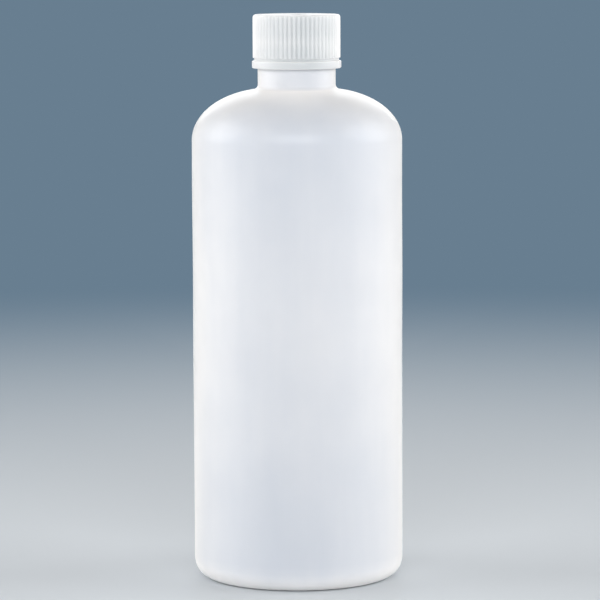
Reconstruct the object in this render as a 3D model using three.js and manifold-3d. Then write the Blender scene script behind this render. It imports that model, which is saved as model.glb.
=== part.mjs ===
// A narrow-mouth reagent bottle of natural polyethylene, its ribbed screw cap and
// the foam liner that the cap presses onto the mouth. Millimetres, +Z up, with the
// origin at the centre of the plane the bottle stands on.
import * as THREE from "three";
import { mergeVertices } from "three/addons/utils/BufferGeometryUtils.js";
import Module from "manifold-3d";

const wasm = await Module();
wasm.setup();

// Driving dimensions.
const BODY_RADIUS = 34;
const TOTAL_HEIGHT = 183.5;
const WALL = 1.1;

// Base: a rounded heel, a flat ring to stand on and a shallow dome inside it.
const HEEL_RADIUS = 6;
const REST_RING_WIDTH = 3.8;
const DOME_RISE = 2.6;
const DOME_EDGE_STEP = 1.2;
const BASE_WALL = 1.5;

// Shoulder: a quarter ellipse from the side to the neck.
const SHOULDER_Z = 142.9;
const SHOULDER_RISE = 16.7;
const SHOULDER_SPAN = 24.5;
const NECK_RADIUS = 12.5;
const NECK_FILLET = 1.5;

// Neck finish: 24 mm over the thread, eight threads to the inch.
const BORE_RADIUS = 8.9;
const FINISH_RADIUS = 11;
const LIP_Z = 180.5;
const LIP_CHAMFER = 0.5;
const NECK_TOP_Z = 167.1;
const PITCH = 3.18;
const NECK_THREAD = { height: 1, rootWidth: 2, crestWidth: 0.9, sunk: 0.4 };
const NECK_THREAD_TURNS = 1.5;
const THREAD_TO_LIP = 2.2;

// Cap: a ribbed skirt over a plain band, with a groove between them. One rib's outline
// is given in shares of its pitch and of its depth.
const CAP_HEIGHT = 17.3;
const CAP_TOP_THICKNESS = 1.55;
const RIB_CREST_RADIUS = 14.18;
const RIB_DEPTH = 0.32;
const RIB_COUNT = 60;
const RIB_OUTLINE = [
  { share: 0.1, rise: 0 },
  { share: 0.35, rise: 1 },
  { share: 0.65, rise: 1 },
  { share: 0.9, rise: 0 },
];
const BAND_RADIUS = 14.45;
const BAND_HEIGHT = 2.4;
const GROOVE_HEIGHT = 0.9;
const GROOVE_RADIUS = 13.75;
const CAP_EDGE_RADIUS = 1;
const CAP_BORE_RADIUS = 12.3;
const CAP_MOUTH_RADIUS = 12.9;
const CAP_MOUTH_DEPTH = 2.6;
const CAP_THREAD = { height: 1, rootWidth: 1.5, crestWidth: 0.7, sunk: 0.25 };
const CAP_THREAD_TURNS = 1.25;
const CAP_THREAD_LEAD = 0.25;
const THREAD_CLEARANCE = 0.2;
const RUN_OUT_TURNS = 0.14;
const RUN_OUT_SINK = 0.05;

// Liner: a disc between the lip and the cap's top, held up by a bead in the cap.
const LINER_RADIUS = 11.85;
const CONTACT_GAP = 0.1;
const BEAD_HEIGHT = 0.35;
const BEAD_RADIUS = 11.6;

// How far solids run past each other before they are joined or cut, and how near two
// corners count as one.
const OVERLAP = 1;
const WELD_DISTANCE = 1e-4;

// Fineness of the faceted solids.
const ROUND_SEGMENTS = 60;
const ARC_STEPS = 3;
const THREAD_STEPS_PER_TURN = 48;

const CAP_BOTTOM_Z = TOTAL_HEIGHT - CAP_HEIGHT;
const GRIP_BOTTOM_Z = CAP_BOTTOM_Z + BAND_HEIGHT + GROOVE_HEIGHT;
const CAP_CEILING_Z = TOTAL_HEIGHT - CAP_TOP_THICKNESS;
const TURN = 2 * Math.PI;

// ---- Solids ----

// A closed three.js geometry as a manifold-3d solid.
function solidFrom(geometry) {
  const bare = geometry.clone();
  bare.deleteAttribute("normal");
  bare.deleteAttribute("uv");
  const merged = mergeVertices(bare, WELD_DISTANCE);
  return new wasm.Manifold(
    new wasm.Mesh({
      numProp: 3,
      vertProperties: new Float32Array(merged.attributes.position.array),
      triVerts: new Uint32Array(merged.index.array),
    }),
  );
}

// A manifold-3d solid as a flat-shaded three.js geometry.
function geometryFrom(solid) {
  const mesh = solid.getMesh();
  const geometry = new THREE.BufferGeometry();
  geometry.setAttribute("position", new THREE.BufferAttribute(mesh.vertProperties, 3));
  geometry.setIndex(new THREE.BufferAttribute(mesh.triVerts, 1));
  const faceted = geometry.toNonIndexed();
  faceted.computeVertexNormals();
  return faceted;
}

// Turns a closed outline of (radius, height) about the Z axis.
function turned(path) {
  const lathe = new THREE.LatheGeometry(path.getPoints(ARC_STEPS), ROUND_SEGMENTS);
  return solidFrom(lathe.rotateX(Math.PI / 2));
}

// The centre line of a thread: a right-hand helix on a wall of the given radius.
// Over the run-out at each end it sinks into the wall, by the signed depth.
class ThreadPath extends THREE.Curve {
  constructor({ radius, sinkDepth, startTurn, turns, startZ }) {
    super();
    Object.assign(this, { radius, sinkDepth, startTurn, turns, startZ });
  }

  getPoint(t, target = new THREE.Vector3()) {
    const fromEnd = Math.min(t, 1 - t) * this.turns;
    const risen = THREE.MathUtils.smoothstep(fromEnd, 0, RUN_OUT_TURNS);
    const radius = this.radius - this.sinkDepth * (1 - risen);
    const angle = TURN * (this.startTurn + t * this.turns);
    const z = this.startZ + PITCH * this.turns * t;
    return target.set(radius * Math.cos(angle), radius * Math.sin(angle), z);
  }

  // Keeps the thread's section square to the axis all the way along.
  computeFrenetFrames(segments) {
    const frames = { tangents: [], normals: [], binormals: [] };
    for (let i = 0; i <= segments; i++) {
      const point = this.getPointAt(i / segments);
      const outward = new THREE.Vector3(point.x, point.y, 0).normalize();
      const along = new THREE.Vector3(-outward.y, outward.x, 0);
      frames.tangents.push(along);
      frames.normals.push(outward);
      frames.binormals.push(new THREE.Vector3().crossVectors(along, outward));
    }
    return frames;
  }
}

// A thread ridge standing out of its wall: side 1 stands outwards, side -1 inwards.
function threadRidge(section, side, place) {
  const { height, rootWidth, crestWidth, sunk } = section;
  const half = rootWidth / 2;
  const outline = new THREE.Shape([
    new THREE.Vector2(-side * sunk, -half),
    new THREE.Vector2(0, -half),
    new THREE.Vector2(side * height, -crestWidth / 2),
    new THREE.Vector2(side * height, crestWidth / 2),
    new THREE.Vector2(0, half),
    new THREE.Vector2(-side * sunk, half),
  ]);
  const path = new ThreadPath({ ...place, sinkDepth: side * (height + RUN_OUT_SINK) });
  const steps = Math.round(THREAD_STEPS_PER_TURN * place.turns);
  return solidFrom(new THREE.ExtrudeGeometry(outline, { steps, extrudePath: path }));
}

// ---- Bottle ----

const NECK_THREAD_TOP_Z = LIP_Z - THREAD_TO_LIP;
const NECK_THREAD_START_Z = NECK_THREAD_TOP_Z - NECK_THREAD_TURNS * PITCH;

// The angle on a shoulder ellipse whose semi-axis is span, where it reaches a radius.
function shoulderAngle(radius, span) {
  return Math.acos((radius - (BODY_RADIUS - SHOULDER_SPAN)) / span);
}

function bottleOutline() {
  const ringOuter = BODY_RADIUS - HEEL_RADIUS;
  const ringInner = ringOuter - REST_RING_WIDTH;
  const shoulderCentre = BODY_RADIUS - SHOULDER_SPAN;
  const neckBaseZ = SHOULDER_Z + SHOULDER_RISE;
  const finishStep = NECK_RADIUS - FINISH_RADIUS;
  const outer = new THREE.Path();
  outer.moveTo(0, DOME_RISE);
  outer.quadraticCurveTo(ringInner / 2, DOME_RISE, ringInner - DOME_EDGE_STEP, DOME_EDGE_STEP);
  outer.lineTo(ringInner, 0);
  outer.lineTo(ringOuter, 0);
  outer.absarc(ringOuter, HEEL_RADIUS, HEEL_RADIUS, -Math.PI / 2, 0, false);
  const outerEnd = shoulderAngle(NECK_RADIUS + NECK_FILLET, SHOULDER_SPAN);
  outer.absellipse(shoulderCentre, SHOULDER_Z, SHOULDER_SPAN, SHOULDER_RISE, 0, outerEnd, false, 0);
  outer.quadraticCurveTo(NECK_RADIUS, neckBaseZ, NECK_RADIUS, neckBaseZ + NECK_FILLET);
  outer.lineTo(NECK_RADIUS, NECK_TOP_Z);
  outer.lineTo(FINISH_RADIUS, NECK_TOP_Z + finishStep);
  outer.lineTo(FINISH_RADIUS, LIP_Z - LIP_CHAMFER);
  outer.lineTo(FINISH_RADIUS - LIP_CHAMFER, LIP_Z);
  outer.lineTo(BORE_RADIUS + LIP_CHAMFER, LIP_Z);
  outer.lineTo(BORE_RADIUS, LIP_Z - LIP_CHAMFER);
  outer.lineTo(BORE_RADIUS, neckBaseZ + 2 * NECK_FILLET);
  return hollowInside(outer, shoulderCentre, ringOuter, ringInner);
}

// Carries the outline down the inside of the wall and back to the axis.
function hollowInside(path, shoulderCentre, ringOuter, ringInner) {
  const span = SHOULDER_SPAN - WALL;
  const rise = SHOULDER_RISE - WALL;
  const start = shoulderAngle(NECK_RADIUS, span);
  const heel = HEEL_RADIUS - WALL;
  const throatZ = SHOULDER_Z + rise * Math.sin(start);
  path.quadraticCurveTo(BORE_RADIUS, throatZ, NECK_RADIUS, throatZ);
  path.absellipse(shoulderCentre, SHOULDER_Z, span, rise, start, 0, true, 0);
  path.absarc(ringOuter, BASE_WALL + heel, heel, 0, -Math.PI / 2, true);
  path.lineTo(ringInner, BASE_WALL + DOME_EDGE_STEP);
  path.quadraticCurveTo(ringInner / 2, DOME_RISE + BASE_WALL, 0, DOME_RISE + BASE_WALL);
  return path;
}

function bottle() {
  const thread = threadRidge(NECK_THREAD, 1, {
    radius: FINISH_RADIUS,
    startTurn: 0,
    turns: NECK_THREAD_TURNS,
    startZ: NECK_THREAD_START_Z,
  });
  return turned(bottleOutline()).add(thread);
}

// ---- Screw cap ----

// The plain foot of the skirt: the band and the groove, with a core that runs up
// inside the grip to join it.
function capFoot() {
  const bandTopZ = CAP_BOTTOM_Z + BAND_HEIGHT;
  const coreTopZ = GRIP_BOTTOM_Z + OVERLAP;
  const path = new THREE.Path();
  path.moveTo(0, CAP_BOTTOM_Z);
  path.lineTo(BAND_RADIUS, CAP_BOTTOM_Z);
  path.lineTo(BAND_RADIUS, bandTopZ);
  path.lineTo(GROOVE_RADIUS, bandTopZ);
  path.lineTo(GROOVE_RADIUS, coreTopZ);
  path.lineTo(0, coreTopZ);
  return turned(path);
}

// The grip: a prism with its ribs as long as it is, rounded over at the top edge.
function capGrip() {
  const outline = [];
  for (let rib = 0; rib < RIB_COUNT; rib++) {
    for (const { share, rise } of RIB_OUTLINE) {
      const angle = ((rib + share) * TURN) / RIB_COUNT;
      const radius = RIB_CREST_RADIUS - RIB_DEPTH * (1 - rise);
      outline.push(new THREE.Vector2(radius * Math.cos(angle), radius * Math.sin(angle)));
    }
  }
  const prism = new THREE.ExtrudeGeometry(new THREE.Shape(outline), {
    depth: TOTAL_HEIGHT - GRIP_BOTTOM_Z,
    bevelEnabled: false,
  });
  const topFlatRadius = RIB_CREST_RADIUS - CAP_EDGE_RADIUS;
  const edgeZ = TOTAL_HEIGHT - CAP_EDGE_RADIUS;
  const envelope = new THREE.Path();
  envelope.moveTo(0, GRIP_BOTTOM_Z - OVERLAP);
  envelope.lineTo(RIB_CREST_RADIUS, GRIP_BOTTOM_Z - OVERLAP);
  envelope.lineTo(RIB_CREST_RADIUS, edgeZ);
  envelope.absarc(topFlatRadius, edgeZ, CAP_EDGE_RADIUS, 0, Math.PI / 2, false);
  envelope.lineTo(0, TOTAL_HEIGHT);
  return solidFrom(prism.translate(0, 0, GRIP_BOTTOM_Z)).intersect(turned(envelope));
}

// The space inside the cap: the wide mouth, the bore with its bead, and the liner's seat.
function capInside() {
  const mouthTopZ = CAP_BOTTOM_Z + CAP_MOUTH_DEPTH;
  const mouthSlope = CAP_MOUTH_RADIUS - CAP_BORE_RADIUS;
  const beadSlope = CAP_BORE_RADIUS - BEAD_RADIUS;
  const beadTopZ = LIP_Z - CONTACT_GAP;
  const beadBottomZ = beadTopZ - BEAD_HEIGHT;
  const path = new THREE.Path();
  path.moveTo(0, CAP_BOTTOM_Z - OVERLAP);
  path.lineTo(CAP_MOUTH_RADIUS, CAP_BOTTOM_Z - OVERLAP);
  path.lineTo(CAP_MOUTH_RADIUS, mouthTopZ);
  path.lineTo(CAP_BORE_RADIUS, mouthTopZ + mouthSlope);
  path.lineTo(CAP_BORE_RADIUS, beadBottomZ - beadSlope);
  path.lineTo(BEAD_RADIUS, beadBottomZ);
  path.lineTo(BEAD_RADIUS, beadTopZ);
  path.lineTo(CAP_BORE_RADIUS, beadTopZ + CONTACT_GAP);
  path.lineTo(CAP_BORE_RADIUS, CAP_CEILING_Z);
  path.lineTo(0, CAP_CEILING_Z);
  return turned(path);
}

// How far the cap's thread lies below the neck's, flank to flank plus the clearance,
// measured half way between the neck's crest and the cap's.
function threadOffset() {
  const overlap = FINISH_RADIUS + NECK_THREAD.height - (CAP_BORE_RADIUS - CAP_THREAD.height);
  const halfWidthAt = ({ height, rootWidth, crestWidth }) =>
    (crestWidth + ((rootWidth - crestWidth) * overlap) / 2 / height) / 2;
  return halfWidthAt(NECK_THREAD) + halfWidthAt(CAP_THREAD) + THREAD_CLEARANCE;
}

function screwCap() {
  const thread = threadRidge(CAP_THREAD, -1, {
    radius: CAP_BORE_RADIUS,
    startTurn: -CAP_THREAD_LEAD,
    turns: CAP_THREAD_TURNS,
    startZ: NECK_THREAD_START_Z - threadOffset() - CAP_THREAD_LEAD * PITCH,
  });
  return capFoot().add(capGrip()).subtract(capInside()).add(thread);
}

// ---- Liner ----

function capLiner() {
  const bottomZ = LIP_Z + CONTACT_GAP;
  const topZ = CAP_CEILING_Z - CONTACT_GAP;
  const disc = new THREE.CylinderGeometry(LINER_RADIUS, LINER_RADIUS, topZ - bottomZ, ROUND_SEGMENTS);
  return solidFrom(disc.rotateX(Math.PI / 2).translate(0, 0, (bottomZ + topZ) / 2));
}

// ---- Assembly ----

function plastic(color, roughness) {
  return new THREE.MeshStandardMaterial({ color, roughness, metalness: 0 });
}

function named(name, solid, material) {
  const mesh = new THREE.Mesh(geometryFrom(solid), material);
  mesh.name = name;
  return mesh;
}

const reagentBottle = new THREE.Group();
reagentBottle.add(
  named("bottle", bottle(), plastic(0xe6e9ee, 0.42)),
  named("screw_cap", screwCap(), plastic(0xe2e5ea, 0.36)),
  named("cap_liner", capLiner(), plastic(0xf4f4f1, 0.85)),
);

export default reagentBottle;
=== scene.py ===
"""Looks of the reagent bottle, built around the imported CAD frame.

Three pieces stand for the three CAD nodes: the blow-moulded bottle, the injection-moulded
screw cap and the foam liner inside it. Each is a fine closed mesh turned about the Z axis,
with its thread, ribs and moulding marks as real geometry. The pieces' lengths are in
millimetres until a mesh is made, where MM takes them to metres. The stage, the lights and
the camera are in metres.
"""

import math

import bpy
import numpy as np
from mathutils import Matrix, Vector


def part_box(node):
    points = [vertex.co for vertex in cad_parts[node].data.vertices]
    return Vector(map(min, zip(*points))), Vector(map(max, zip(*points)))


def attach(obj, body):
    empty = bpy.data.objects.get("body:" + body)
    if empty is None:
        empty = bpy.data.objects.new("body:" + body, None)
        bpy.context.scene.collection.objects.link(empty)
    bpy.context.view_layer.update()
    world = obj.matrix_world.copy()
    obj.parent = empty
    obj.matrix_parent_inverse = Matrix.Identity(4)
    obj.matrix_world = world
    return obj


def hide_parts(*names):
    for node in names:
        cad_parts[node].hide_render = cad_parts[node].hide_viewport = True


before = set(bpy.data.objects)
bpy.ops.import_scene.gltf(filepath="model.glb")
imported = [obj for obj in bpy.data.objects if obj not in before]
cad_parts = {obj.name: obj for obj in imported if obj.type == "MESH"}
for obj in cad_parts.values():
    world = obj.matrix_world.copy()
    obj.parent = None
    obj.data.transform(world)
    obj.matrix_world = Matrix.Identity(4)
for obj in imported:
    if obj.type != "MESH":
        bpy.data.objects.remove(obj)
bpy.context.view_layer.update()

MM = 0.001
TURN = 2 * math.pi
MILK_ATTRIBUTE = "milk_mm"
SQUARE_ATTRIBUTE = "square_to_wall"

# ---- Sizes read from the frame ----

BODY_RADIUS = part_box("bottle")[1].x / MM
LIP_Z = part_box("bottle")[1].z / MM
CAP_BOTTOM_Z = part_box("screw_cap")[0].z / MM
CAP_TOP_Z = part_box("screw_cap")[1].z / MM
BAND_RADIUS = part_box("screw_cap")[1].x / MM
LINER_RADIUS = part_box("cap_liner")[1].x / MM
LINER_BOTTOM_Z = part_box("cap_liner")[0].z / MM
LINER_TOP_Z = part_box("cap_liner")[1].z / MM
CONTACT_GAP = LINER_BOTTOM_Z - LIP_Z

# ---- Sizes that the boxes don't give, in millimetres ----

# Bottle.
WALL = 1.1
BASE_WALL = 1.5
HEEL_RADIUS = 6
REST_RING_WIDTH = 3.8
REST_EDGE_FILLET = 0.7
DOME_RISE = 2.6
DOME_EDGE_STEP = 1.2
DOME_EDGE_FILLET = 0.6
DOME_RIM_WIDTH = 0.8
DOME_RIM_RISE = 0.09
SHOULDER_Z = 142.9
SHOULDER_RISE = 16.7
SHOULDER_SPAN = 24.5
NECK_RADIUS = 12.5
NECK_FILLET = 1.5
NECK_TOP_Z = 167.1
STEP_FILLET = 0.5
FINISH_RADIUS = 11
BORE_RADIUS = 8.9
LIP_ROUND = 0.6
REST_OUTER = BODY_RADIUS - HEEL_RADIUS
REST_INNER = REST_OUTER - REST_RING_WIDTH
DOME_EDGE = REST_INNER - DOME_EDGE_STEP
SHOULDER_CENTRE = BODY_RADIUS - SHOULDER_SPAN
SHOULDER_TOP_Z = SHOULDER_Z + SHOULDER_RISE

# Threads: eight to the inch. Root and crest are widths, and start is counted in turns from +X.
PITCH = 3.18
RUN_OUT_TURNS = 0.14
NECK_THREAD = {"height": 1, "root": 2, "crest": 0.9, "turns": 1.5, "start": 0}
CAP_THREAD = {"height": 1, "root": 1.5, "crest": 0.7, "turns": 1.25, "start": -0.25}
THREAD_TO_LIP = 2.2
THREAD_CLEARANCE = 0.2
FINISH_FADE = 0.5
NECK_THREAD_START_Z = LIP_Z - THREAD_TO_LIP - NECK_THREAD["turns"] * PITCH

# Cap.
RIB_CREST_RADIUS = 14.18
RIB_DEPTH = 0.32
RIB_COUNT = 60
BAND_HEIGHT = 2.4
BAND_TOP_FILLET = 0.3
BAND_BOTTOM_FILLET = 0.4
GROOVE_HEIGHT = 0.9
GROOVE_RADIUS = 13.75
GROOVE_FILLET = 0.15
GRIP_ROOT_FILLET = 0.08
GRIP_EDGE_FILLET = 0.15
CAP_EDGE_RADIUS = 1
CAP_BORE_RADIUS = 12.3
CAP_MOUTH_RADIUS = 12.9
CAP_MOUTH_DEPTH = 2.6
CAP_MOUTH_FILLET = 0.3
CAP_TOP_THICKNESS = 1.55
CEILING_FILLET = 0.3
BEAD_RADIUS = 11.6
BEAD_HEIGHT = 0.35
BEAD_SEAT_FILLET = 0.1
BEAD_TOP_FILLET = 0.12
BEAD_BOTTOM_FILLET = 0.15
BEAD_RUN_OUT_FILLET = 0.4
CAP_MOUTH_TOP_Z = CAP_BOTTOM_Z + CAP_MOUTH_DEPTH
GRIP_BOTTOM_Z = CAP_BOTTOM_Z + BAND_HEIGHT + GROOVE_HEIGHT
CEILING_Z = CAP_TOP_Z - CAP_TOP_THICKNESS

# Liner.
LINER_FILLET = 0.12
LIP_PRINT_DEPTH = 0.06
LIP_PRINT_FADE = 0.3

# Where one section of an outline ends and the next starts, clear of the fillets next to it.
FINISH_START_Z = NECK_TOP_Z - 1
BORE_START_Z = LIP_Z - 2 * LIP_ROUND
GRIP_START_Z = GRIP_BOTTOM_Z - 0.2
CAP_THREAD_MARGIN = 1

# Milky plastic that the eye meets square on: the wall's own, and what stands close behind it. Of
# the cap's thread, THREAD_SHOWING is the share that shows through the skirt.
# These amounts set how much of the painted see-through shade goes into the base colour: more milk,
# paler.
STRETCHED_MILK = 0.8
SIDE_MILK = 1.25
# The neck's value is below its real thick wall: it paints the shade of the cap and the dim bore
# into the neck.
NECK_MILK_WITH_PAINTED_SHADE = 1.2
# The base's value is partly real, the bottle's floor seen edge on, and partly painted light that
# lifts the shade at the heel near the floor.
BASE_MILK_WITH_PAINTED_LIGHT = 1.6
BAND_MILK = 1.9
PLATE_MILK = 2.2
THREAD_SHOWING = 0.4

# The heights (for the neck also the radii) between which the milk changes to the next value.
HEEL_TO_SIDE = (10, 80)
SHOULDER_TO_SIDE = (SHOULDER_Z + 10, SHOULDER_Z - 50)
SHOULDER_TO_NECK = (SHOULDER_Z, SHOULDER_Z + 10)
SHOULDER_TO_NECK_RADII = (32, 12)
HEEL_TO_BASE = (8, 2)
SKIRT_TO_PLATE = (CEILING_Z - 1, CEILING_Z + 1)

# Moulding marks. The seam rises out of the heel between the two heights of SEAM_FROM_HEEL.
SEAM_HEIGHT = 0.1
SEAM_WIDTH = 0.22
SEAM_FROM_HEEL = (1, 6)
PINCH_HEIGHT = 0.4
PINCH_WIDTH = 0.55
PINCH_HALF_LENGTH = 17
PINCH_RUN_OUT = 1.5
GATE_RADIUS = 0.8
GATE_HEIGHT = 0.15
GATE_TAPER = 0.1
GATE_DIP = 0.03
GATE_ROOT_FILLET = 0.1
GATE_EDGE_FILLET = 0.05
GATE_RECESS_RADIUS = 3.4
GATE_RECESS_DEPTH = 0.25
GATE_RECESS_FILLET = 0.3
GRAIN_DEPTH = 0.012

# The pinch-off scar is ragged along its length: waves of (share of its height, radians a
# millimetre, phase).
PINCH_WAVES = ((0.22, 1.7, 0.6), (0.15, 4.1, 0))

# The blown wall's unevenness is a sum of waves. Each has up to UNEVEN_MOST_CRESTS crests round the
# bottle, and along it a length that is a share of the longest. It grows between the two heights
# from the heel up, and from the neck down.
UNEVEN_HEIGHT = 0.05
UNEVEN_SEED = 11
UNEVEN_WAVES = 9
UNEVEN_MOST_CRESTS = 5
UNEVEN_LONGEST = 110
UNEVEN_SHORTEST_SHARE = 0.35
UNEVEN_FROM_HEEL = (4, 24)
UNEVEN_FROM_NECK = (SHOULDER_TOP_Z, SHOULDER_TOP_Z - 12)

# Half a rib's foot and half its crest, as shares of the way from one rib to the next.
RIB_HALF_FOOT = 0.4
RIB_HALF_CREST = 0.15

# ---- How fine the meshes are ----

# Points round the axis. At the parting line the bottle's are closer by the share SEAM_CROWDING.
BOTTLE_AROUND = 248
SEAM_CROWDING = 0.85
CAP_AROUND = 9 * RIB_COUNT
LINER_AROUND = 160
STAGE_AROUND = 96

# The longest stretch between two points of an outline, in millimetres.
UNDER_STRETCH = 0.8
WALL_STRETCH = 2.5
THREAD_STRETCH = 0.16
INSIDE_STRETCH = 8
CAP_STRETCH = 3
CAP_FOOT_STRETCH = 2
LINER_STRETCH = 0.35

# Steps of the arcs and curves.
FILLET_STEPS = 5
DOME_STEPS = 14
HEEL_STEPS = 18
SHOULDER_STEPS = 44
NECK_FOOT_STEPS = 10
THROAT_STEPS = 10
INSIDE_SHOULDER_STEPS = 30
INSIDE_HEEL_STEPS = 14
CAP_EDGE_STEPS = 14
STAGE_SWEEP_STEPS = 16


# ---- Outlines of (radius, height) ----


def arc(centre, span, rise, start, end, steps):
    """Points on an ellipse's arc, from one angle to another, both included."""
    angles = np.linspace(start, end, steps + 1)
    return [(centre[0] + span * math.cos(a), centre[1] + rise * math.sin(a)) for a in angles]


def curve(start, control, end, steps):
    """Points on a quadratic curve, both ends included."""
    points = []
    for t in np.linspace(0, 1, steps + 1):
        near, middle, far = (1 - t) ** 2, 2 * t * (1 - t), t**2
        point = [near * a + middle * b + far * c for a, b, c in zip(start, control, end)]
        points.append(tuple(point))
    return points


def rounded(corners):
    """A polyline through (radius, height, fillet) corners, all rounded but the first and last."""
    points = [corners[0][:2]]
    for before, corner, after in zip(corners, corners[1:], corners[2:]):
        here, fillet = Vector(corner[:2]), corner[2]
        back = (Vector(before[:2]) - here).normalized()
        ahead = (Vector(after[:2]) - here).normalized()
        half = back.angle(ahead) / 2
        centre = here + (back + ahead).normalized() * fillet / math.sin(half)
        spoke = here + back * fillet / math.tan(half) - centre
        sweep = (math.pi - 2 * half) * (1 if spoke.cross(-back) > 0 else -1)
        for turn in np.linspace(0, sweep, FILLET_STEPS + 1):
            cos, sin = math.cos(turn), math.sin(turn)
            turned = Vector((spoke.x * cos - spoke.y * sin, spoke.x * sin + spoke.y * cos))
            points.append(tuple(centre + turned))
    points.append(corners[-1][:2])
    return points


def refined(points, longest):
    """The same outline with no stretch longer than longest, and no point twice."""
    tiny = 1e-6
    result = [points[0]]
    for point in points[1:]:
        last = result[-1]
        length = math.dist(last, point)
        if length < tiny:
            continue
        pieces = math.ceil(length / longest - tiny)
        for i in range(1, pieces + 1):
            result.append(tuple(a + (b - a) * i / pieces for a, b in zip(last, point)))
    return result


# ---- Turned surfaces with relief ----


def ramp(values, start, end):
    """A smooth step from 0 to 1 as values go from start to end."""
    t = np.clip((values - start) / (end - start), 0, 1)
    return t * t * (3 - 2 * t)


def thread_relief(angle, z, thread, start_z):
    """How far a thread stands out of its wall at each (z, angle), run out at both ends."""
    relief = 0
    first = math.floor(thread["start"]) - 1
    last = math.ceil(thread["start"] + thread["turns"]) + 1
    for lap in range(first, last):
        along = angle / TURN + lap - thread["start"]
        offset = np.abs(z - start_z - PITCH * along)
        flank = ramp(offset, thread["root"] / 2, thread["crest"] / 2)
        run_out = ramp(np.minimum(along, thread["turns"] - along), 0, RUN_OUT_TURNS)
        relief = np.maximum(relief, thread["height"] * flank * run_out)
    return relief


def unevenness(angle, z):
    """A smooth unevenness of about 1: waves round the bottle and along it, with seeded phases."""
    rng = np.random.default_rng(UNEVEN_SEED)
    total = 0
    for _ in range(UNEVEN_WAVES):
        crests = rng.integers(1, UNEVEN_MOST_CRESTS + 1)
        rate = TURN / (UNEVEN_LONGEST * rng.uniform(UNEVEN_SHORTEST_SHARE, 1))
        round_phase, long_phase = rng.uniform(0, TURN, 2)
        total = total + np.cos(crests * angle + round_phase) * np.cos(rate * z + long_phase)
    return total / math.sqrt(UNEVEN_WAVES)


def even_angles(count):
    """Angles round the axis, evenly spaced."""
    return np.arange(count) * TURN / count


def seam_angles(count):
    """Angles round the axis that crowd together where the mould halves meet, at +X and -X."""
    even = even_angles(count)
    return even - SEAM_CROWDING / 2 * np.sin(2 * even)


def revolve(name, sections, angles, milk):
    """A closed piece turned about Z from sections that meet end to end. The first starts and the
    last ends on the axis. A section is (outline, longest stretch, relief), and its relief(angle,
    r, z) gives the change of radius and of height at each point, or is None. For the material,
    each point stores milk(angle, r, z) and the direction square to the wall without relief."""
    angle = angles[None, :]
    rings, milks, squares = [], [], []
    for outline, longest, relief in sections:
        rows = np.array(refined(outline, longest))
        along = np.gradient(rows, axis=0)
        kept = slice(1 if rings else 0, None)
        r, z = rows[kept, :1], rows[kept, 1:]
        out, up = along[kept, 1:], -along[kept, :1]
        square = [out * np.cos(angle), out * np.sin(angle), up + 0 * angle]
        squares.append(np.stack(square, axis=-1))
        milks.append(milk(angle, r, z) + 0 * angle)
        out, up = relief(angle, r, z) if relief else (0, 0)
        radius, height = r + out + 0 * angle, z + up + 0 * angle
        rings.append(np.stack([radius * np.cos(angle), radius * np.sin(angle), height], axis=-1))
    grid = np.concatenate(rings)
    depth, square = np.concatenate(milks), np.concatenate(squares)
    depth = np.concatenate([depth[1:-1].ravel(), depth[[0, -1], 0]])
    square = np.vstack([square[1:-1].reshape(-1, 3), square[[0, -1], 0]])
    poles, grid = grid[[0, -1], 0], grid[1:-1]
    count, across = grid.shape[:2]
    here = np.arange(across)
    after = np.roll(here, -1)
    row = np.arange(count - 1)[:, None] * across
    corners = [row + here, row + after, row + across + after, row + across + here]
    quads = np.stack(corners, axis=-1).reshape(-1, 4).tolist()
    start, last_row = count * across, (count - 1) * across
    start_fan = [(start, int(b), int(a)) for a, b in zip(here, after)]
    end_fan = [(start + 1, int(last_row + a), int(last_row + b)) for a, b in zip(here, after)]
    mesh = bpy.data.meshes.new(name)
    vertices = np.vstack([grid.reshape(-1, 3), poles]) * MM
    mesh.from_pydata(vertices.tolist(), [], quads + start_fan + end_fan)
    stored_milk = mesh.attributes.new(MILK_ATTRIBUTE, "FLOAT", "POINT")
    stored_milk.data.foreach_set("value", depth)
    stored_square = mesh.attributes.new(SQUARE_ATTRIBUTE, "FLOAT_VECTOR", "POINT")
    stored_square.data.foreach_set("vector", square.ravel())
    mesh.shade_smooth()
    piece = bpy.data.objects.new(name, mesh)
    bpy.context.scene.collection.objects.link(piece)
    return piece


# ---- The bottle ----


def shoulder_angle(radius, span):
    """The angle on a shoulder ellipse of that span where it reaches a radius."""
    return math.acos((radius - SHOULDER_CENTRE) / span)


def under_outline():
    """The dome and the edge of the ring that the bottle stands on."""
    rim = (DOME_EDGE - DOME_RIM_WIDTH, DOME_EDGE_STEP + DOME_RIM_RISE)
    dome = curve((0, DOME_RISE), (DOME_EDGE / 2, DOME_RISE), rim, DOME_STEPS)
    ring = rounded(
        [
            (*rim, 0),
            (DOME_EDGE, DOME_EDGE_STEP, DOME_EDGE_FILLET),
            (REST_INNER, 0, REST_EDGE_FILLET),
            (REST_OUTER, 0, 0),
        ]
    )
    return dome + ring


def wall_outline():
    """The heel, the side, the shoulder and the foot of the neck."""
    heel_centre = (REST_OUTER, HEEL_RADIUS)
    heel = arc(heel_centre, HEEL_RADIUS, HEEL_RADIUS, -math.pi / 2, 0, HEEL_STEPS)
    end = shoulder_angle(NECK_RADIUS + NECK_FILLET, SHOULDER_SPAN)
    centre = (SHOULDER_CENTRE, SHOULDER_Z)
    shoulder = arc(centre, SHOULDER_SPAN, SHOULDER_RISE, 0, end, SHOULDER_STEPS)
    foot_corner = (NECK_RADIUS, SHOULDER_TOP_Z)
    foot_end = (NECK_RADIUS, SHOULDER_TOP_Z + NECK_FILLET)
    foot = curve(shoulder[-1], foot_corner, foot_end, NECK_FOOT_STEPS)
    return heel + shoulder + foot + [(NECK_RADIUS, FINISH_START_Z)]


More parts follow.
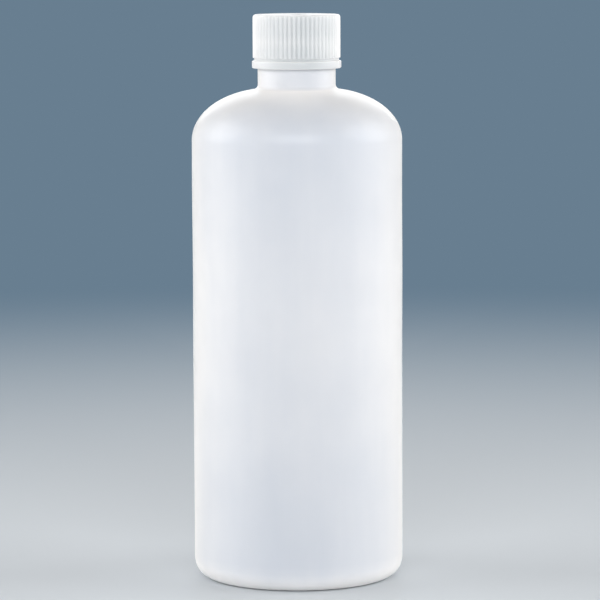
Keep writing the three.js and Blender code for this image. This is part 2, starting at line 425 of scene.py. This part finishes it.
def finish_outline():
    """The top of the neck, the wall that carries the thread, the lip and the start of the bore."""
    step = NECK_RADIUS - FINISH_RADIUS
    return rounded(
        [
            (NECK_RADIUS, FINISH_START_Z, 0),
            (NECK_RADIUS, NECK_TOP_Z, STEP_FILLET),
            (FINISH_RADIUS, NECK_TOP_Z + step, STEP_FILLET),
            (FINISH_RADIUS, LIP_Z, LIP_ROUND),
            (BORE_RADIUS, LIP_Z, LIP_ROUND),
            (BORE_RADIUS, BORE_START_Z, 0),
        ]
    )


def inside_outline():
    """The bore, the inside of the wall and the floor."""
    span, rise = SHOULDER_SPAN - WALL, SHOULDER_RISE - WALL
    start = shoulder_angle(NECK_RADIUS, span)
    shoulder = arc((SHOULDER_CENTRE, SHOULDER_Z), span, rise, start, 0, INSIDE_SHOULDER_STEPS)
    throat_start = (BORE_RADIUS, SHOULDER_TOP_Z + 2 * NECK_FILLET)
    throat_corner = (BORE_RADIUS, shoulder[0][1])
    throat = curve(throat_start, throat_corner, shoulder[0], THROAT_STEPS)
    heel = HEEL_RADIUS - WALL
    corner = arc((REST_OUTER, BASE_WALL + heel), heel, heel, 0, -math.pi / 2, INSIDE_HEEL_STEPS)
    rim = (REST_INNER, BASE_WALL + DOME_EDGE_STEP)
    floor_z = DOME_RISE + BASE_WALL
    floor = curve(rim, (REST_INNER / 2, floor_z), (0, floor_z), DOME_STEPS)
    return [(BORE_RADIUS, BORE_START_Z)] + throat + shoulder + corner + floor


def seam_relief(angle, r):
    """The thin raised line where the two halves of the mould met."""
    return SEAM_HEIGHT * np.exp(-((r * np.sin(angle) / SEAM_WIDTH) ** 2))


def under_relief(angle, r, z):
    """The scar along X where the mould pinched off the tube."""
    across, along = r * np.sin(angle), np.abs(r * np.cos(angle))
    ragged = 1
    for share, rate, phase in PINCH_WAVES:
        ragged = ragged + share * np.sin(along * rate + phase)
    run_out = ramp(along, PINCH_HALF_LENGTH, PINCH_HALF_LENGTH - PINCH_RUN_OUT)
    scar = np.exp(-((across / PINCH_WIDTH) ** 2)) * run_out
    return 0, -PINCH_HEIGHT * ragged * scar


def wall_relief(angle, r, z):
    """The seam, and the faint unevenness of a blown wall."""
    blown = ramp(z, *UNEVEN_FROM_HEEL) * ramp(z, *UNEVEN_FROM_NECK)
    uneven = UNEVEN_HEIGHT * blown * unevenness(angle, z)
    return uneven + seam_relief(angle, r) * ramp(z, *SEAM_FROM_HEEL), 0


def finish_relief(angle, r, z):
    """The thread and the seam, both ending short of the lip."""
    step_top_z = NECK_TOP_Z + NECK_RADIUS - FINISH_RADIUS
    below_lip = ramp(z, LIP_Z - FINISH_FADE, LIP_Z - 2 * FINISH_FADE)
    above_step = ramp(z, step_top_z, step_top_z + FINISH_FADE)
    thread = thread_relief(angle, z, NECK_THREAD, NECK_THREAD_START_Z) * above_step
    return (thread + seam_relief(angle, r)) * below_lip, 0


def bottle_milk(angle, r, z):
    """A blown wall is thinnest where it stretched most, at the heel and the shoulder's bend. The
    neck is thicker, but its value is kept low to paint the shade of the cap and the dim bore
    into it. At the foot the eye looks into the floor of the bottle edge on, and the higher value
    there is also painted light that lifts the shade near the floor."""
    side = ramp(z, *HEEL_TO_SIDE) * ramp(z, *SHOULDER_TO_SIDE)
    neck = ramp(r, *SHOULDER_TO_NECK_RADII) * ramp(z, *SHOULDER_TO_NECK)
    base = ramp(z, *HEEL_TO_BASE)
    milk = STRETCHED_MILK + side * (SIDE_MILK - STRETCHED_MILK)
    return milk + neck * (NECK_MILK_WITH_PAINTED_SHADE - STRETCHED_MILK) + base * (BASE_MILK_WITH_PAINTED_LIGHT - STRETCHED_MILK)


def build_bottle():
    sections = [
        (under_outline(), UNDER_STRETCH, under_relief),
        (wall_outline(), WALL_STRETCH, wall_relief),
        (finish_outline(), THREAD_STRETCH, finish_relief),
        (inside_outline(), INSIDE_STRETCH, None),
    ]
    piece = revolve("bottle_body", sections, seam_angles(BOTTLE_AROUND), bottle_milk)
    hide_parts("bottle")
    return piece


# ---- The screw cap ----


def cap_thread_start():
    """The height where the cap's thread starts: below the neck's, with the clearance between."""
    overlap = FINISH_RADIUS + NECK_THREAD["height"] - (CAP_BORE_RADIUS - CAP_THREAD["height"])
    apart = THREAD_CLEARANCE
    for thread in (NECK_THREAD, CAP_THREAD):
        slope = (thread["root"] - thread["crest"]) / thread["height"]
        apart += (thread["crest"] + slope * overlap / 2) / 2
    return NECK_THREAD_START_Z - apart + CAP_THREAD["start"] * PITCH


def ceiling_outline():
    """From the middle of the ceiling round the liner's seat and its bead to the bore."""
    bead_top_z = LIP_Z - CONTACT_GAP
    bead_bottom_z = bead_top_z - BEAD_HEIGHT
    run_out_z = bead_bottom_z - (CAP_BORE_RADIUS - BEAD_RADIUS)
    return rounded(
        [
            (0, CEILING_Z, 0),
            (CAP_BORE_RADIUS, CEILING_Z, CEILING_FILLET),
            (CAP_BORE_RADIUS, bead_top_z + CONTACT_GAP, BEAD_SEAT_FILLET),
            (BEAD_RADIUS, bead_top_z, BEAD_TOP_FILLET),
            (BEAD_RADIUS, bead_bottom_z, BEAD_BOTTOM_FILLET),
            (CAP_BORE_RADIUS, run_out_z, BEAD_RUN_OUT_FILLET),
            (CAP_BORE_RADIUS, run_out_z - CAP_THREAD_MARGIN, 0),
        ]
    )


def bore_outline():
    """The part of the bore that carries the thread."""
    top_z = ceiling_outline()[-1][1]
    return [(CAP_BORE_RADIUS, top_z), (CAP_BORE_RADIUS, CAP_MOUTH_TOP_Z + CAP_THREAD_MARGIN)]


def foot_outline():
    """The mouth, the bottom edge, the band and the groove."""
    slope = CAP_MOUTH_RADIUS - CAP_BORE_RADIUS
    band_top_z = CAP_BOTTOM_Z + BAND_HEIGHT
    return rounded(
        [
            (CAP_BORE_RADIUS, CAP_MOUTH_TOP_Z + CAP_THREAD_MARGIN, 0),
            (CAP_BORE_RADIUS, CAP_MOUTH_TOP_Z + slope, CAP_MOUTH_FILLET),
            (CAP_MOUTH_RADIUS, CAP_MOUTH_TOP_Z, CAP_MOUTH_FILLET),
            (CAP_MOUTH_RADIUS, CAP_BOTTOM_Z, CAP_MOUTH_FILLET),
            (BAND_RADIUS, CAP_BOTTOM_Z, BAND_BOTTOM_FILLET),
            (BAND_RADIUS, band_top_z, BAND_TOP_FILLET),
            (GROOVE_RADIUS, band_top_z, GROOVE_FILLET),
            (GROOVE_RADIUS, GRIP_START_Z, 0),
        ]
    )


def grip_outline():
    """The ribbed grip and the round edge at its top."""
    edge_z = CAP_TOP_Z - CAP_EDGE_RADIUS
    foot = rounded(
        [
            (GROOVE_RADIUS, GRIP_START_Z, 0),
            (GROOVE_RADIUS, GRIP_BOTTOM_Z, GRIP_ROOT_FILLET),
            (RIB_CREST_RADIUS, GRIP_BOTTOM_Z, GRIP_EDGE_FILLET),
            (RIB_CREST_RADIUS, edge_z, 0),
        ]
    )
    centre = (RIB_CREST_RADIUS - CAP_EDGE_RADIUS, edge_z)
    return foot + arc(centre, CAP_EDGE_RADIUS, CAP_EDGE_RADIUS, 0, math.pi / 2, CAP_EDGE_STEPS)


def top_outline():
    """The flat top with the gate's mark in its middle."""
    recess_z = CAP_TOP_Z - GATE_RECESS_DEPTH
    gate_z = recess_z + GATE_HEIGHT
    return rounded(
        [
            (RIB_CREST_RADIUS - CAP_EDGE_RADIUS, CAP_TOP_Z, 0),
            (GATE_RECESS_RADIUS, CAP_TOP_Z, GATE_RECESS_FILLET),
            (GATE_RECESS_RADIUS - GATE_RECESS_DEPTH, recess_z, GATE_RECESS_FILLET),
            (GATE_RADIUS, recess_z, GATE_ROOT_FILLET),
            (GATE_RADIUS - GATE_TAPER, gate_z, GATE_EDGE_FILLET),
            (0, gate_z - GATE_DIP, 0),
        ]
    )


def bore_relief(angle, r, z):
    """The cap's thread, which stands into the bore."""
    return -thread_relief(angle, z, CAP_THREAD, cap_thread_start()), 0


def grip_relief(angle, r, z):
    """Cuts the grip back between the ribs, wherever it is wider than the valleys."""
    from_middle = np.abs(angle / TURN * RIB_COUNT % 1 - 0.5)
    rib = ramp(from_middle, RIB_HALF_FOOT, RIB_HALF_CREST)
    surface = RIB_CREST_RADIUS - RIB_DEPTH * (1 - rib)
    return np.minimum(surface - r, 0), 0


def cap_milk(angle, r, z):
    """The skirt's wall with its thread showing through, the band in front of the neck's step, and
    the top plate with the liner under it."""
    skirt = RIB_CREST_RADIUS - CAP_BORE_RADIUS
    blurred_thread = {**CAP_THREAD, "root": 2 * CAP_THREAD["root"]}
    thread = THREAD_SHOWING * thread_relief(angle, z, blurred_thread, cap_thread_start())
    band = ramp(z, GRIP_BOTTOM_Z, GRIP_BOTTOM_Z - GROOVE_HEIGHT)
    plate = ramp(z, *SKIRT_TO_PLATE)
    return skirt + thread + band * (BAND_MILK - skirt) + plate * (PLATE_MILK - skirt)


def build_cap():
    sections = [
        (ceiling_outline(), CAP_STRETCH, None),
        (bore_outline(), THREAD_STRETCH, bore_relief),
        (foot_outline(), CAP_FOOT_STRETCH, None),
        (grip_outline(), CAP_STRETCH, grip_relief),
        (top_outline(), CAP_STRETCH, None),
    ]
    piece = revolve("ribbed_screw_cap", sections, even_angles(CAP_AROUND), cap_milk)
    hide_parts("screw_cap")
    return piece


# ---- The liner ----


def liner_relief(angle, r, z):
    """The print that the bottle's lip leaves in the foam."""
    lip_middle = (BORE_RADIUS + FINISH_RADIUS) / 2
    lip_half = (FINISH_RADIUS - BORE_RADIUS) / 2 - LIP_ROUND / 2
    print_share = ramp(np.abs(r - lip_middle), lip_half + LIP_PRINT_FADE, lip_half)
    underside = z < LINER_BOTTOM_Z + LIP_PRINT_DEPTH
    return 0, LIP_PRINT_DEPTH * print_share * underside


def liner_milk(angle, r, z):
    """The thickness of the foam."""
    return LINER_TOP_Z - LINER_BOTTOM_Z + 0 * r


def build_liner():
    outline = rounded(
        [
            (0, LINER_BOTTOM_Z, 0),
            (LINER_RADIUS, LINER_BOTTOM_Z, LINER_FILLET),
            (LINER_RADIUS, LINER_TOP_Z, LINER_FILLET),
            (0, LINER_TOP_Z, 0),
        ]
    )
    sections = [(outline, LINER_STRETCH, liner_relief)]
    piece = revolve("foam_liner", sections, even_angles(LINER_AROUND), liner_milk)
    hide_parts("cap_liner")
    return piece


# ---- Materials ----

# The range in which most values of a noise lie.
USUAL_NOISE = (0.3, 0.7)

# Noise features per metre, and how a noise is drawn out along Z by a small last number.
SHADE_SCALE = 60
PATCH_SCALE = 160
THICKNESS_SCALE = 40
BAND_SCALE = 90
BAND_STRETCH = (1, 1, 0.12)
STREAK_SCALE = 700
STREAK_STRETCH = (1, 1, 0.012)
FOAM_SHADE_SCALE = 300
FOAM_PATCH_SCALE = 900
CELL_SCALE = 2600

# How far the noises change what they drive.
DARKER_MILK = 0.975
DARKER_FOAM = 0.94
BAND_CHANGE = (0.88, 1.12)
THICKNESS_CHANGE = (0.9, 1.1)
ROUGHNESS_CHANGE = 0.05
FOAM_ROUGHNESS = (0.72, 0.86)
CELL_DEPTH = 0.06

PLASTIC_IOR = 1.5
LEAST_SLANT = 0.08

# Sockets of a Mix node that mixes colours.
MIX_FIRST = 6
MIX_SECOND = 7
MIX_RESULT = 2


def add_node(tree, kind, inputs=None, **settings):
    """A shader node with its settings, and with inputs that are values or other nodes' outputs."""
    node = tree.nodes.new(kind)
    for key, value in settings.items():
        setattr(node, key, value)
    for key, value in (inputs or {}).items():
        if isinstance(value, bpy.types.NodeSocket):
            tree.links.new(value, node.inputs[key])
        else:
            node.inputs[key].default_value = value
    return node


def noise(tree, position, scale, detail=2, stretch=(1, 1, 1)):
    """Noise whose features are about 1/scale metres across, longer along a small stretch."""
    place = add_node(tree, "ShaderNodeMapping", {"Vector": position, "Scale": stretch})
    inputs = {"Vector": place.outputs["Vector"], "Scale": scale, "Detail": detail}
    return add_node(tree, "ShaderNodeTexNoise", inputs).outputs["Fac"]


def spread(tree, value, low, high):
    """A noise's usual range spread over low to high."""
    inputs = {
        "Value": value,
        "From Min": USUAL_NOISE[0],
        "From Max": USUAL_NOISE[1],
        "To Min": low,
        "To Max": high,
    }
    return add_node(tree, "ShaderNodeMapRange", inputs).outputs["Result"]


def bumped(tree, height, depth, normal=None):
    """A bump of a height in metres for the full range of a value, over another bump if given."""
    inputs = {"Height": height, "Distance": depth}
    if normal is not None:
        inputs["Normal"] = normal
    return add_node(tree, "ShaderNodeBump", inputs).outputs["Normal"]


def maths(tree, operation, first, second):
    """The result of a maths node on two values or outputs."""
    return add_node(tree, "ShaderNodeMath", {0: first, 1: second}, operation=operation).outputs[0]


def mixed(tree, share, first, second):
    """A colour between two colours or colour outputs."""
    node = add_node(tree, "ShaderNodeMix", {0: share}, data_type="RGBA")
    for socket, colour in ((node.inputs[MIX_FIRST], first), (node.inputs[MIX_SECOND], second)):
        if isinstance(colour, bpy.types.NodeSocket):
            tree.links.new(colour, socket)
        else:
            socket.default_value = (*colour, 1)
    return node.outputs[MIX_RESULT]


def painted_see_through_share(tree, position, clarity_per_mm):
    """The share of a fixed dim tone, painted see-through shade, in a milky wall's base colour.
    Where the slant keeps the share low, the edges stay pale as painted limb brightening. The share
    falls off with the wall's thickness, which varies in bands along Z, and with the longer way
    through it at a slant. The slant is the wall's own, so that ribs and grain don't change it."""
    wall = add_node(tree, "ShaderNodeAttribute", attribute_name=SQUARE_ATTRIBUTE)
    to_world = {"vector_type": "NORMAL", "convert_from": "OBJECT", "convert_to": "WORLD"}
    inputs = {"Vector": wall.outputs["Vector"]}
    square = add_node(tree, "ShaderNodeVectorTransform", inputs, **to_world).outputs["Vector"]
    weight = add_node(tree, "ShaderNodeLayerWeight", {"Blend": 0.5, "Normal": square})
    straight = maths(tree, "SUBTRACT", 1, weight.outputs["Facing"])
    slant = maths(tree, "MAXIMUM", straight, LEAST_SLANT)
    milk = add_node(tree, "ShaderNodeAttribute", attribute_name=MILK_ATTRIBUTE).outputs["Fac"]
    band_noise = noise(tree, position, BAND_SCALE, detail=3, stretch=BAND_STRETCH)
    bands = spread(tree, band_noise, *BAND_CHANGE)
    clouds = spread(tree, noise(tree, position, THICKNESS_SCALE, detail=3), *THICKNESS_CHANGE)
    uneven = maths(tree, "MULTIPLY", milk, maths(tree, "MULTIPLY", bands, clouds))
    return maths(tree, "POWER", clarity_per_mm, maths(tree, "DIVIDE", uneven, slant))


def translucent_plastic(
    name, milk, painted_shade_behind, clarity_per_mm, roughness, scatter_mm, streak_mm, grain_mm
):
    """Natural polyolefin: milky, with moulded grain and, on a blown wall, streaks along Z. Its
    base colour holds painted light: a thin wall seen square on is mixed towards a fixed dim tone,
    painted see-through shade, and its edges keep the pale milk, painted limb brightening."""
    material = bpy.data.materials.new(name)
    material.use_nodes = True
    tree = material.node_tree
    surface = tree.nodes["Principled BSDF"]
    position = add_node(tree, "ShaderNodeTexCoord").outputs["Object"]
    shade = spread(tree, noise(tree, position, SHADE_SCALE, detail=3), 0, 1)
    solid = mixed(tree, shade, [DARKER_MILK * c for c in milk], milk)
    # Painted light: the milk goes towards a dim painted see-through shade where the wall is seen
    # square on, and stays pale at the edges as painted limb brightening.
    colour = mixed(tree, painted_see_through_share(tree, position, clarity_per_mm), solid, painted_shade_behind)
    tree.links.new(colour, surface.inputs["Base Color"])
    patches = noise(tree, position, PATCH_SCALE, detail=4)
    low, high = roughness - ROUGHNESS_CHANGE, roughness + ROUGHNESS_CHANGE
    tree.links.new(spread(tree, patches, low, high), surface.inputs["Roughness"])
    grain = noise(tree, position, 1 / (grain_mm * MM))
    normal = bumped(tree, grain, GRAIN_DEPTH * grain_mm * MM)
    if streak_mm:
        lines = noise(tree, position, STREAK_SCALE, detail=3, stretch=STREAK_STRETCH)
        normal = bumped(tree, lines, streak_mm * MM, normal)
    tree.links.new(normal, surface.inputs["Normal"])
    surface.inputs["Subsurface Weight"].default_value = 1
    surface.inputs["Subsurface Radius"].default_value = (1, 1, 1)
    surface.inputs["Subsurface Scale"].default_value = scatter_mm * MM
    surface.inputs["IOR"].default_value = PLASTIC_IOR
    return material


def foam(name, colour):
    """Closed-cell foam sheet: matt, with a skin of small cells."""
    material = bpy.data.materials.new(name)
    material.use_nodes = True
    tree = material.node_tree
    surface = tree.nodes["Principled BSDF"]
    position = add_node(tree, "ShaderNodeTexCoord").outputs["Object"]
    cells = add_node(tree, "ShaderNodeTexVoronoi", {"Vector": position, "Scale": CELL_SCALE})
    shade = spread(tree, noise(tree, position, FOAM_SHADE_SCALE), 0, 1)
    shaded = mixed(tree, shade, [DARKER_FOAM * c for c in colour], colour)
    tree.links.new(shaded, surface.inputs["Base Color"])
    patches = noise(tree, position, FOAM_PATCH_SCALE)
    tree.links.new(spread(tree, patches, *FOAM_ROUGHNESS), surface.inputs["Roughness"])
    normal = bumped(tree, cells.outputs["Distance"], CELL_DEPTH * MM)
    tree.links.new(normal, surface.inputs["Normal"])
    return material


# ---- Stage ----

# The floor and the backdrop as the camera sees them, and what they send to matt surfaces instead.
FLOOR_COLOUR = (0.67, 0.7, 0.725)
FLOOR_BOUNCE = (0.78, 0.8, 0.82)
BACKDROP_COLOUR = (0.139, 0.209, 0.279)
TENT_COLOUR = (1.1, 1.1, 1.1)
FLOOR_SHINE = 0.07
FLOOR_SHINE_ROUGHNESS = 0.2

# The distances from the origin between which the floor turns into the backdrop.
FLOOR_FADE = (0.05, 0.9)
FLOOR_REACH = 1.5
SWEEP_RADIUS = 0.7
WALL_TOP = 1.5

# Area lights: (name, place, (width, height), radiance).
LIGHTS = (
    ("left_light", (-1.2, 0, 0.6), (1, 0.9), 2.6),
    ("right_light", (1.2, 0, 0.6), (1, 0.9), 2.6),
    ("front_light", (0, -1.3, 0.6), (1.2, 0.6), 3.6),
    ("back_light", (0, 1.3, 0.6), (1.2, 0.6), 2),
)
LIGHT_AIM = (0, 0, 0.1)
WORLD_STRENGTH = 0.1


def stage_material():
    """A pale satin floor that turns into a slate backdrop away from the bottle. The backdrop looks
    slate to the camera and in reflections, but both light matt surfaces as a white tent would."""
    material = bpy.data.materials.new("stage")
    material.use_nodes = True
    tree = material.node_tree
    floor = tree.nodes["Principled BSDF"]
    matt = add_node(tree, "ShaderNodeLightPath").outputs["Is Diffuse Ray"]
    tree.links.new(mixed(tree, matt, FLOOR_COLOUR, FLOOR_BOUNCE), floor.inputs["Base Color"])
    floor.inputs["Specular IOR Level"].default_value = 0
    inputs = {"Color": (1, 1, 1, 1), "Roughness": FLOOR_SHINE_ROUGHNESS}
    shine = add_node(tree, "ShaderNodeBsdfGlossy", inputs)
    inputs = {0: FLOOR_SHINE, 1: floor.outputs[0], 2: shine.outputs[0]}
    satin = add_node(tree, "ShaderNodeMixShader", inputs)
    position = add_node(tree, "ShaderNodeNewGeometry").outputs["Position"]
    length = add_node(tree, "ShaderNodeVectorMath", {0: position}, operation="LENGTH")
    inputs = {
        "Value": length.outputs["Value"],
        "From Min": FLOOR_FADE[0],
        "From Max": FLOOR_FADE[1],
    }
    fade = add_node(tree, "ShaderNodeMapRange", inputs, interpolation_type="SMOOTHSTEP")
    colour = mixed(tree, matt, BACKDROP_COLOUR, TENT_COLOUR)
    glow = add_node(tree, "ShaderNodeEmission", {"Color": colour, "Strength": 1})
    inputs = {0: fade.outputs["Result"], 1: satin.outputs[0], 2: glow.outputs[0]}
    stage = add_node(tree, "ShaderNodeMixShader", inputs)
    tree.links.new(stage.outputs[0], tree.nodes["Material Output"].inputs["Surface"])
    return material


def build_stage():
    """A floor that sweeps up into a round wall, so that it looks the same from every side."""
    centre = (FLOOR_REACH, SWEEP_RADIUS)
    sweep = arc(centre, SWEEP_RADIUS, SWEEP_RADIUS, -math.pi / 2, 0, STAGE_SWEEP_STEPS)
    outline = sweep + [(FLOOR_REACH + SWEEP_RADIUS, WALL_TOP)]
    angles = even_angles(STAGE_AROUND)
    vertices = [(r * math.cos(a), r * math.sin(a), z) for r, z in outline for a in angles]
    faces = [tuple(reversed(range(STAGE_AROUND)))]
    for row in range(len(outline) - 1):
        for i in range(STAGE_AROUND):
            j = (i + 1) % STAGE_AROUND
            low, high = row * STAGE_AROUND, (row + 1) * STAGE_AROUND
            faces.append((low + i, low + j, high + j, high + i))
    bowl = bpy.data.meshes.new("stage_bowl")
    bowl.from_pydata(vertices, [], faces)
    bowl.flip_normals()
    bowl.shade_smooth()
    bowl.materials.append(stage_material())
    piece = bpy.data.objects.new("stage_bowl", bowl)
    bpy.context.scene.collection.objects.link(piece)


def add_light(name, place, size, radiance):
    """A rectangular light of an even radiance, aimed at LIGHT_AIM and hidden from the camera."""
    light = bpy.data.lights.new(name, "AREA")
    light.shape = "RECTANGLE"
    light.size, light.size_y = size
    light.energy = radiance * math.pi * size[0] * size[1]
    lamp = bpy.data.objects.new(name, light)
    lamp.location = place
    lamp.rotation_mode = "QUATERNION"
    lamp.rotation_quaternion = (Vector(place) - Vector(LIGHT_AIM)).to_track_quat("Z", "Y")
    lamp.visible_camera = False
    bpy.context.scene.collection.objects.link(lamp)


def light_stage():
    for light in LIGHTS:
        add_light(*light)
    world = bpy.data.worlds.new("studio")
    world.use_nodes = True
    background = world.node_tree.nodes["Background"]
    background.inputs["Color"].default_value = (1, 1, 1, 1)
    background.inputs["Strength"].default_value = WORLD_STRENGTH
    bpy.context.scene.world = world


# ---- Camera ----

CAMERA_PLACE = (0.00129, -1.1, 0.214)
CAMERA_PITCH = math.radians(6.4)
CAMERA_ROLL = math.radians(0.24)
CAMERA_LENS = 203.7
SENSOR_WIDTH = 36


def build_camera():
    """In front of the bottle and a little above its cap, looking slightly down."""
    data = bpy.data.cameras.new("camera")
    data.lens = CAMERA_LENS
    data.sensor_width = SENSOR_WIDTH
    camera = bpy.data.objects.new("camera", data)
    camera.location = CAMERA_PLACE
    camera.rotation_euler = (math.pi / 2 - CAMERA_PITCH, CAMERA_ROLL, 0)
    bpy.context.scene.collection.objects.link(camera)
    bpy.context.scene.camera = camera


# ---- The scene ----

polyethylene = translucent_plastic(
    "natural_polyethylene",
    milk=(0.95, 0.92, 0.89),
    # Painted see-through shade: a dim blue-grey mixed into the base colour where the wall is seen
    # square on.
    painted_shade_behind=(0.46, 0.51, 0.59),
    clarity_per_mm=0.63,
    roughness=0.33,
    scatter_mm=1,
    streak_mm=0.012,
    grain_mm=0.45,
)
polypropylene = translucent_plastic(
    "natural_polypropylene",
    milk=(0.9, 0.885, 0.875),
    # Painted see-through shade: a dim grey mixed into the base colour where the skirt is seen
    # square on.
    painted_shade_behind=(0.23, 0.3, 0.34),
    clarity_per_mm=0.67,
    roughness=0.34,
    scatter_mm=1.6,
    streak_mm=0,
    grain_mm=0.3,
)
liner_foam = foam("polyethylene_foam", (0.9, 0.9, 0.87))

for make, body, slot, material in (
    (build_bottle, "bottle", "bottle_polyethylene", polyethylene),
    (build_cap, "cap", "cap_polypropylene", polypropylene),
    (build_liner, "seal", "liner_foam", liner_foam),
):
    piece = make()
    piece.data.materials.append(material)
    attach(piece, body)

build_stage()
light_stage()
build_camera()
bpy.context.scene.view_settings.view_transform = "Standard"
